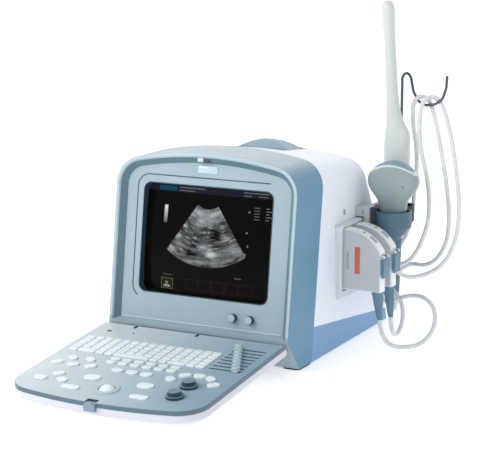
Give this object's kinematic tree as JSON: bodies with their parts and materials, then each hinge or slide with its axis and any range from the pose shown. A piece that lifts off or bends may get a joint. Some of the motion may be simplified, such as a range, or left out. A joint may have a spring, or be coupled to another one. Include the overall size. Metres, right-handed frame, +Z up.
{
  "type": "ultrasound scanner",
  "caption": "Portable tube-monitor ultrasound scanner with a fold-up keyboard, side probe connectors, and two probes in a holder with their cables over a wire hook.",
  "frame": {"origin": "bottom centre of the box around everything but the two probe cables, on the table", "axes": "+Z up, the screen and keyboard face -Y, the probe side is +X"},
  "size_m": [0.4133, 0.6502, 0.4943],
  "materials": {
    "frame_grey": "satin",
    "bezel_grey": "satin",
    "white_shell": "satin",
    "blue_shell": "satin",
    "key_white": "satin",
    "slider_grey": "satin",
    "black_plastic": "satin",
    "rubber_dark": "satin",
    "screen_glass": "gloss",
    "steel": "satin",
    "dark_wire": "satin",
    "copper": "satin",
    "circuit_board": "satin",
    "connector_white": "satin",
    "lever_blue": "satin",
    "relief_blue": "satin",
    "cup_blue": "satin",
    "probe_grey": "satin",
    "probe_cream": "satin",
    "lens_blue": "satin",
    "cable_grey": "satin",
    "panel_dark": "satin"
  },
  "bodies": {
    "root": {"cable_hook": "dark_wire", "cable_reliefs": "relief_blue", "carry_handle": "frame_grey", "cavity_cable": "cable_grey", "cavity_probe_body": "probe_cream", "cavity_probe_lens": "probe_cream", "connector_far": "connector_white", "connector_near": "connector_white", "connector_plate": "connector_white", "convex_cable": "cable_grey", "convex_probe_body": "probe_grey", "convex_probe_lens": "lens_blue", "deflection_yoke": "copper", "fan_frame": "black_plastic", "feet": "rubber_dark", "front_bezel": "bezel_grey", "front_frame": "frame_grey", "hinge_arms": "steel", "holder_bracket": "black_plastic", "lower_housing": "blue_shell", "main_board": "circuit_board", "power_supply": "steel", "probe_cup_far": "black_plastic", "probe_cup_near": "cup_blue", "rear_panel": "panel_dark", "rear_sockets": "black_plastic", "screen_faceplate": "screen_glass", "tube_funnel": "screen_glass", "upper_housing": "white_shell"},
    "keyboard": {"keyboard_top": "frame_grey", "keyboard_base": "white_shell", "keyboard_board": "circuit_board", "hinge_pins": "steel", "trackball_ring": "frame_grey"},
    "brightness_knob": {"brightness_knob": "frame_grey"},
    "contrast_knob": {"contrast_knob": "frame_grey"},
    "fan_rotor": {"fan_rotor": "black_plastic"},
    "power_switch": {"power_switch": "black_plastic"},
    "lock_lever_near": {"lock_lever_near": "lever_blue"},
    "lock_lever_far": {"lock_lever_far": "lever_blue"},
    "keyboard_latch": {"keyboard_latch": "frame_grey"},
    "trackball": {"trackball": "key_white"},
    "near_encoder": {"near_encoder": "key_white"},
    "far_encoder": {"far_encoder": "key_white"},
    "gain_slider_1": {"gain_slider_1": "slider_grey"},
    "gain_slider_2": {"gain_slider_2": "slider_grey"},
    "gain_slider_3": {"gain_slider_3": "slider_grey"},
    "gain_slider_4": {"gain_slider_4": "slider_grey"},
    "gain_slider_5": {"gain_slider_5": "slider_grey"},
    "gain_slider_6": {"gain_slider_6": "slider_grey"},
    "gain_slider_7": {"gain_slider_7": "slider_grey"},
    "gain_slider_8": {"gain_slider_8": "slider_grey"},
    "key_row_1": {"key_row_1": "key_white"},
    "key_row_2": {"key_row_2": "key_white"},
    "key_row_3": {"key_row_3": "key_white"},
    "key_row_4": {"key_row_4": "key_white"},
    "key_row_5": {"key_row_5": "key_white"},
    "left_function_keys": {"left_function_keys": "key_white"},
    "right_function_keys": {"right_function_keys": "key_white"},
    "small_pair_keys": {"small_pair_keys": "key_white"}
  },
  "joints": [
    {"name": "keyboard_fold", "type": "hinge", "parent": "root", "child": "keyboard", "pos_m": [-0.0455, -0.06072, 0.03817], "axis": [-1, 0, 0], "range_deg": [0, 103.5]},
    {"name": "brightness_knob_turn", "type": "hinge", "parent": "root", "child": "brightness_knob", "pos_m": [0.0065, -0.03928, 0.07104], "axis": [0, -0.991, 0.134], "range_deg": [-150, 150]},
    {"name": "contrast_knob_turn", "type": "hinge", "parent": "root", "child": "contrast_knob", "pos_m": [0.0329, -0.03932, 0.07075], "axis": [0, -0.991, 0.134], "range_deg": [-150, 150]},
    {"name": "fan_spin", "type": "hinge", "parent": "root", "child": "fan_rotor", "pos_m": [-0.0975, 0.29359, 0.09448], "axis": [0, 0.9787, 0.2055], "continuous": true},
    {"name": "power_rocker", "type": "hinge", "parent": "root", "child": "power_switch", "pos_m": [-0.0315, 0.31077, 0.06131], "axis": [1, 0, 0], "range_deg": [0, 14]},
    {"name": "lock_lever_near_swing", "type": "hinge", "parent": "root", "child": "lock_lever_near", "pos_m": [0.1612, 0.13556, 0.14], "axis": [0, -1, 0], "range_deg": [0, 60]},
    {"name": "lock_lever_far_swing", "type": "hinge", "parent": "root", "child": "lock_lever_far", "pos_m": [0.1612, 0.17756, 0.14], "axis": [0, -1, 0], "range_deg": [0, 60]},
    {"name": "key_row_1_press", "type": "slide", "parent": "keyboard", "child": "key_row_1", "axis": [0, 0.1063, -0.9943], "range_m": [0, 0.0015], "stiffness_N_per_m": 300},
    {"name": "key_row_2_press", "type": "slide", "parent": "keyboard", "child": "key_row_2", "axis": [0, 0.1063, -0.9943], "range_m": [0, 0.0015], "stiffness_N_per_m": 300},
    {"name": "key_row_3_press", "type": "slide", "parent": "keyboard", "child": "key_row_3", "axis": [0, 0.1063, -0.9943], "range_m": [0, 0.0015], "stiffness_N_per_m": 300},
    {"name": "key_row_4_press", "type": "slide", "parent": "keyboard", "child": "key_row_4", "axis": [0, 0.1063, -0.9943], "range_m": [0, 0.0015], "stiffness_N_per_m": 300},
    {"name": "key_row_5_press", "type": "slide", "parent": "keyboard", "child": "key_row_5", "axis": [0, 0.1063, -0.9943], "range_m": [0, 0.0015], "stiffness_N_per_m": 300},
    {"name": "left_function_keys_press", "type": "slide", "parent": "keyboard", "child": "left_function_keys", "axis": [0, 0.1063, -0.9943], "range_m": [0, 0.0015], "stiffness_N_per_m": 300},
    {"name": "right_function_keys_press", "type": "slide", "parent": "keyboard", "child": "right_function_keys", "axis": [0, 0.1063, -0.9943], "range_m": [0, 0.0015], "stiffness_N_per_m": 300},
    {"name": "small_pair_keys_press", "type": "slide", "parent": "keyboard", "child": "small_pair_keys", "axis": [0, 0.1063, -0.9943], "range_m": [0, 0.0015], "stiffness_N_per_m": 300},
    {"name": "keyboard_latch_push", "type": "slide", "parent": "keyboard", "child": "keyboard_latch", "axis": [0, 0.9943, 0.1063], "range_m": [0, 0.0025], "stiffness_N_per_m": 300},
    {"name": "gain_slider_1_slide", "type": "slide", "parent": "keyboard", "child": "gain_slider_1", "axis": [1, 0, 0], "range_m": [-0.0006, 0.0366]},
    {"name": "gain_slider_2_slide", "type": "slide", "parent": "keyboard", "child": "gain_slider_2", "axis": [1, 0, 0], "range_m": [-0.00546, 0.03174]},
    {"name": "gain_slider_3_slide", "type": "slide", "parent": "keyboard", "child": "gain_slider_3", "axis": [1, 0, 0], "range_m": [-0.01031, 0.02689]},
    {"name": "gain_slider_4_slide", "type": "slide", "parent": "keyboard", "child": "gain_slider_4", "axis": [1, 0, 0], "range_m": [-0.01517, 0.02203]},
    {"name": "gain_slider_5_slide", "type": "slide", "parent": "keyboard", "child": "gain_slider_5", "axis": [1, 0, 0], "range_m": [-0.02003, 0.01717]},
    {"name": "gain_slider_6_slide", "type": "slide", "parent": "keyboard", "child": "gain_slider_6", "axis": [1, 0, 0], "range_m": [-0.02489, 0.01231]},
    {"name": "gain_slider_7_slide", "type": "slide", "parent": "keyboard", "child": "gain_slider_7", "axis": [1, 0, 0], "range_m": [-0.02974, 0.00746]},
    {"name": "gain_slider_8_slide", "type": "slide", "parent": "keyboard", "child": "gain_slider_8", "axis": [1, 0, 0], "range_m": [-0.0346, 0.0026]},
    {"name": "near_encoder_turn", "type": "hinge", "parent": "keyboard", "child": "near_encoder", "pos_m": [0.047, -0.27034, 0.02814], "axis": [0, -0.1063, 0.9943], "continuous": true},
    {"name": "far_encoder_turn", "type": "hinge", "parent": "keyboard", "child": "far_encoder", "pos_m": [0.047, -0.23405, 0.03202], "axis": [0, -0.1063, 0.9943], "continuous": true},
    {"name": "trackball_roll", "type": "hinge", "parent": "keyboard", "child": "trackball", "pos_m": [-0.0485, -0.27628, 0.01785], "axis": [1, 0, 0], "continuous": true}
  ]
}
